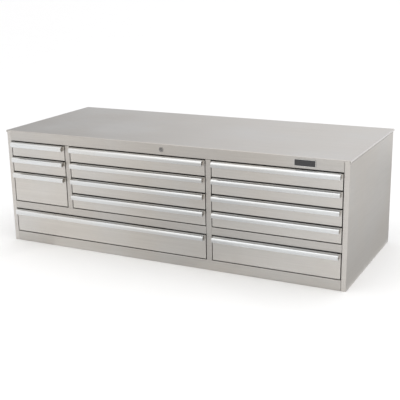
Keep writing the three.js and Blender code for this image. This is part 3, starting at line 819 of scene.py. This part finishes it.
def make_slide_screws(drawer):
    """Screw heads on the inside of the box, three to a slide."""
    room = box_room(drawer)
    front, back = room["y"]
    radius, height = 3.6 * MM, 1.3 * MM
    shares = (0.08, 0.5, 0.9)  # of the way from the box's front to its back
    bm = bmesh.new()
    for wall, inward in ((room["x"][0], 1), (room["x"][1], -1)):
        for share in shares:
            y = front + share * (back - front)

            def place(a, b, depth):
                return (wall + inward * (WALL + depth), y + a, room["slide"] + b)

            dome(bm, place, radius, height)
    finish_piece(mesh_object(f"{drawer}_slide_screws", bm), drawer, "zinc")


# ------------------------------------------------------------ ball-bearing slides


def ride_between(piece):
    """Bakes the piece's place into its mesh. It joins no body, so it takes no share of the drawer's travel.
    """
    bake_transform(piece)


def both_sides(room):
    """(edge, inward) for the slides at the two edges of a drawer's opening."""
    return ((room["edges"][0], 1), (room["edges"][1], -1))


def channel(bm, edge, inward, z, section, thickness, span):
    """Adds a folded channel beside a drawer. A negative thickness lies on the web's other side.

    The section is (tip, web, half), in millimetres: how far the flanges' tips and the web are from the
    opening's edge, and half the channel's height.
    """
    tip, web, half = section
    path = [(tip, half), (web, half), (web, -half), (tip, -half)]
    outline = bent_sheet([(edge + inward * u * MM, z + v * MM) for u, v in path], -inward * thickness * MM)
    sweep(bm, outline, span[0], span[1], along_y)


def make_intermediates(drawer):
    """The middle members of the two slides, which run out half as far as the drawer."""
    room = box_room(drawer)
    tip, web, half = 10.3, 2.3, 18.6
    sheet = 1.1
    first_rivet, rivet_pitch = 16, 300
    rivet_radius, rivet_height = 3.0 * MM, 0.8 * MM
    span = (room["front"] + 21 * MM, room["front"] + 670 * MM)
    bm = bmesh.new()
    for edge, inward in both_sides(room):
        channel(bm, edge, inward, room["slide"], (tip, web, half), -sheet, span)
        for k in range(3):
            y = span[0] + (first_rivet + rivet_pitch * k) * MM

            def place(a, b, depth):
                return (edge + inward * ((web + sheet) * MM + depth), y + a, room["slide"] + b)

            dome(bm, place, rivet_radius, rivet_height)
    piece = mesh_object(f"{drawer}_intermediates", bm)
    finish_piece(piece, None, "zinc", 0.35)
    ride_between(piece)


def make_release_levers(drawer):
    """The black levers on the drawer members that let a drawer be lifted out."""
    room = box_room(drawer)
    root, thick, half = 11.7 * MM, 2.6 * MM, 7.5 * MM
    start = room["front"] + 62 * MM
    long, nib, taper, point = 64 * MM, 9 * MM, 5 * MM, 4 * MM
    upper = [
        (start + long, 0),
        (start + long - point, half * 0.3),
        (start + nib + taper, half * 0.45),
        (start + nib, half),
        (start, half),
    ]
    z = room["slide"]
    outline = [(y, z - rise) for y, rise in reversed(upper[1:])] + [(y, z + rise) for y, rise in upper]
    bm = bmesh.new()
    for edge, inward in both_sides(room):
        sweep(bm, outline, edge + inward * (root - thick), edge + inward * root, along_x)
    piece = mesh_object(f"{drawer}_release_levers", bm)
    finish_piece(piece, drawer, "plastic", 0.5)


CAGES = {
    "outer": {"share": 0.25, "section": (8.8, 1.6, 20.1), "side": -1, "balls": (5.6, 19.8)},
    "inner": {"share": 0.75, "section": (4.9, 11.7, 16.5), "side": 1, "balls": (7.6, 16.25)},
}
CAGE_SHEET = 0.5
BALL_RADIUS = 1.2 * MM
BALL_PITCH = 20 * MM


def make_cages(drawer):
    """Ball cages: the outer pair keeps a quarter of the drawer's travel, the inner pair three quarters."""
    room = box_room(drawer)
    middle = room["slide"]
    start, end = room["front"] + 185 * MM, room["front"] + 505 * MM
    for name, cage in CAGES.items():
        strips, balls = bmesh.new(), bmesh.new()
        across, up = cage["balls"]
        for edge, inward in both_sides(room):
            channel(strips, edge, inward, middle, cage["section"], cage["side"] * CAGE_SHEET, (start, end))
            x = edge + inward * across * MM
            for k in range(int((end - start) / BALL_PITCH)):
                y = start + (k + 0.5) * BALL_PITCH
                for sign in (-1, 1):
                    ball(balls, (x, y, middle + sign * up * MM), BALL_RADIUS)
        for kind, bm, key in (("cages", strips, "zinc"), ("balls", balls, "steel_ball")):
            piece = finish_piece(mesh_object(f"{drawer}_{name}_{kind}", bm), None, key)
            ride_between(piece)


# ------------------------------------------------------------ lock and badge


def make_lock_bezel():
    """The lock's round face: a flange with a turned-down rim, a shallow dish, and the barrel behind it."""
    low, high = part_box("lock_housing")
    radius = (high.x - low.x) / 2
    x, z = (low.x + high.x) / 2, (low.z + high.z) / 2
    bore, barrel, flange = 6.3 * MM, 9.5 * MM, 1.7 * MM
    face, back = low.y, low.y + flange
    profile = [
        (bore, high.y),
        (bore, face + 1.0 * MM),
        (bore + 0.5 * MM, face + 0.55 * MM),
        (bore + 1.6 * MM, face + 0.4 * MM),
        (radius - 2.6 * MM, face),
        (radius - 1.3 * MM, face + 0.12 * MM),
        (radius - 0.45 * MM, face + 0.5 * MM),
        (radius, face + 1.1 * MM),
        (radius, back),
        (barrel, back),
        (barrel, high.y),
    ]
    bm = bmesh.new()
    lathe(bm, profile, lambda a, b, depth: (x + a, depth, z + b), LOCK_SIDES)
    piece = mesh_object("lock_bezel", bm)
    finish_piece(piece, CABINET, "lock")
    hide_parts("lock_housing")


def make_lock_core():
    """The plug that a key turns, with a keyway cut in its face and a bright ring round it."""
    low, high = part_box("lock_plug")
    radius = (high.x - low.x) / 2
    x, z = (low.x + high.x) / 2, (low.z + high.z) / 2
    bm = bmesh.new()
    chamfer = [(radius, low.y + 0.7 * MM), (radius - 0.6 * MM, low.y)]
    profile = [(0, high.y), (radius, high.y)] + chamfer + [(0, low.y)]
    lathe(bm, profile, lambda a, b, depth: (x + a, depth, z + b), LOCK_SIDES)
    core = mesh_object("lock_core", bm)
    half_wide, ward, half_long = 0.75, 1.5, 4.1  # millimetres
    deep = 9 * MM
    slot = [
        (-half_wide, -half_long),
        (half_wide, -half_long),
        (half_wide, -1.2),
        (ward, -0.6),
        (ward, 0.9),
        (half_wide, 1.4),
        (half_wide, half_long),
        (-half_wide, half_long),
    ]
    cutter_mesh = bmesh.new()
    outline = [(x + u * MM, z + v * MM) for u, v in slot]
    sweep(cutter_mesh, outline, low.y - MM, low.y + deep, along_y)
    cut(core, mesh_object("keyway_cutter", cutter_mesh))
    finish_piece(core, "lock_cylinder", "lock")
    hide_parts("lock_plug")


def cut(obj, cutter):
    """Takes the cutter out of the piece, and then deletes the cutter."""
    for thing in (obj, cutter):
        bpy.context.scene.collection.objects.link(thing)
    modifier = obj.modifiers.new("cut", "BOOLEAN")
    modifier.object = cutter
    modifier.solver = "EXACT"
    evaluated = obj.evaluated_get(bpy.context.evaluated_depsgraph_get())
    mesh = bpy.data.meshes.new_from_object(evaluated)
    obj.modifiers.clear()
    obj.data = mesh
    bpy.data.objects.remove(cutter)
    bpy.context.scene.collection.objects.unlink(obj)


def rounded_rectangle(x0, x1, z0, z1, radius):
    """The outline's (x, z) points, anticlockwise from the right side's upper end."""
    steps = 8
    left, right = x0 + radius, x1 - radius
    lower, upper = z0 + radius, z1 - radius
    centres = [(right, upper), (left, upper), (left, lower), (right, lower)]
    points = []
    for quarter, (x, z) in enumerate(centres):
        for k in range(steps + 1):
            angle = math.pi / 2 * (quarter + k / steps)
            points.append((x + radius * math.cos(angle), z + radius * math.sin(angle)))
    return points


def make_badge_rim():
    """A bright raised rim round the plain black plate."""
    low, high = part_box("nameplate")
    proud, wide, corner = 0.7 * MM, 2.0 * MM, 5 * MM
    rings = []
    for inset in (0, wide):
        x0, x1 = low.x + inset, high.x - inset
        z0, z1 = low.z + inset, high.z - inset
        rings.append(rounded_rectangle(x0, x1, z0, z1, corner - inset))
    bm = bmesh.new()
    front, back = low.y - proud, low.y + 0.4 * MM
    loops = [[bm.verts.new((x, y, z)) for x, z in ring] for y in (front, back) for ring in rings]
    outer_front, inner_front, outer_back, inner_back = loops
    around = (outer_front, inner_front, inner_back, outer_back)
    count = len(outer_front)
    for i in range(count):
        j = (i + 1) % count
        for a, b in zip(around, around[1:] + around[:1]):
            bm.faces.new((a[i], a[j], b[j], b[i]))
    finish_piece(mesh_object("badge_rim", bm), CABINET, "rim", 0.25)


# ------------------------------------------------------------ back of the cabinet

BEAD_BULGE = 3.4 * MM
BEAD_ROOT = 0.4 * MM  # how far the bead reaches into the lip
BEAD_CLEAR = 0.5 * MM  # from the lip's upper and lower edges


def make_worktop_bead():
    """The rolled edge round the sides and the back of the worktop: a shallow bead over the folded lip."""
    low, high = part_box("top_panel")
    top = high.z - BEAD_CLEAR
    tall = WORKTOP_LIP - 2 * BEAD_CLEAR
    steps = 10
    bead = [(BEAD_BULGE * math.sin(math.pi * k / steps), top - tall * k / steps) for k in range(steps + 1)]
    bead += [(-BEAD_ROOT, bead[-1][1]), (-BEAD_ROOT, bead[0][1])]
    bm = bmesh.new()
    start, end = low.y + 1.0 * MM, high.y
    sweep(bm, [(high.x + out, z) for out, z in bead], start, end, along_y)
    sweep(bm, [(low.x - out, z) for out, z in bead], start, end, along_y)
    sweep(bm, [(high.y + out, z) for out, z in bead], low.x, high.x, along_x)
    finish_piece(mesh_object("worktop_bead", bm), CABINET, "bead")


def make_back_rivets():
    """Blind rivets round the edge of the back panel and down both divider walls."""
    low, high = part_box("back_panel")
    radius, height = 5.6 * MM, 2.3 * MM
    side_margin, end_margin, top_margin, flange_middle = 11 * MM, 30 * MM, 9 * MM, 7 * MM
    columns = [low.x + side_margin, high.x - side_margin]
    columns += [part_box(divider)[0].x + flange_middle for divider in ("left_divider", "centre_divider")]
    steps_up, steps_across = 7, 12
    foot, rise = low.z + end_margin, high.z - low.z - 2 * end_margin
    spots = [(x, foot + rise * k / steps_up) for x in columns for k in range(steps_up + 1)]
    for k in range(1, steps_across):
        spots.append((low.x + (high.x - low.x) * k / steps_across, high.z - top_margin))
    bm = bmesh.new()
    for x, z in spots:
        rivet(bm, lambda a, b, depth: (x + a, high.y + depth, z + b), radius, height)
    finish_piece(mesh_object("back_panel_rivets", bm), CABINET, "rivet")


# ------------------------------------------------------------ close

dress_cad()
make_lock_bezel()
make_lock_core()
make_badge_rim()
make_worktop_bead()
make_back_rivets()
for drawer in DRAWERS:
    make_pull(drawer)
    make_hems(drawer)
    make_liner(drawer)
    make_slide_screws(drawer)
    make_intermediates(drawer)
    make_cages(drawer)
    make_release_levers(drawer)
